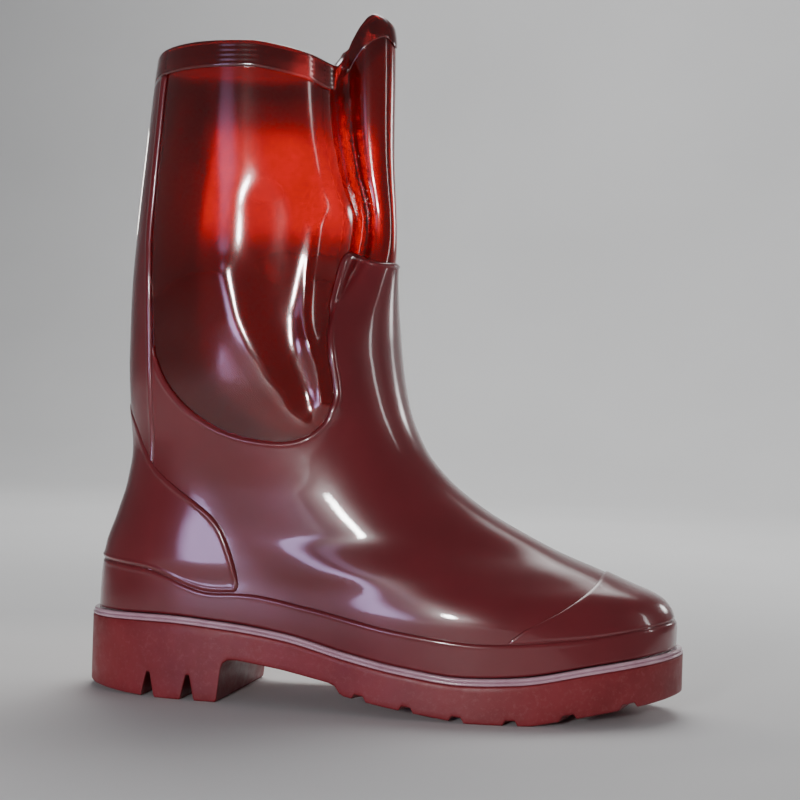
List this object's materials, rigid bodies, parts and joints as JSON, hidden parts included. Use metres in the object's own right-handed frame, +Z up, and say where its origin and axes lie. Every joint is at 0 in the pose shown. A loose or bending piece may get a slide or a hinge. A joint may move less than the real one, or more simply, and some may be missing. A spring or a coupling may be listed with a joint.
{
  "type": "tall rubber work boot",
  "caption": "Tall glossy translucent dark-red rubber boot for the right foot, with soft leg panels, ribbed collar, toe cap, heel counter and a cleated brick-red sole.",
  "frame": {"origin": "on the ground, under the middle of the boot's box", "axes": "+X from heel to toe, +Y to the wearer's left (the inner side of this right boot), +Z up"},
  "size_m": [0.3032, 0.1146, 0.3471],
  "materials": {
    "leg_skin": "thin glossy translucent red PVC, light glows through it",
    "thick_skin": "thick glossy translucent burgundy PVC with pale edges",
    "sole_rubber": "moulded opaque brick-red PVC, semi-matt, scuffed",
    "welt_rubber": "glossy pale rose double lip",
    "board": "matt pressed board",
    "shank_steel": "plain rolled strip",
    "footbed_foam": "felted textile over thin foam"
  },
  "bodies": {
    "boot": {"outsole": "sole_rubber", "welt_strip": "welt_rubber", "shank": "shank_steel", "insole_board": "board", "leg_shell": "leg_skin", "vamp": "thick_skin", "backstay": "thick_skin", "heel_counter": "thick_skin", "toe_cap": "thick_skin", "foxing_band": "thick_skin", "collar_band": "thick_skin"},
    "footbed": {"footbed": "footbed_foam"}
  },
  "joints": [
    {"name": "footbed_lift", "type": "hinge", "parent": "boot", "child": "footbed", "pos_m": [0.1407, 0, 0.0336], "axis": [0, 1, 0], "range_deg": [0, 6]}
  ]
}
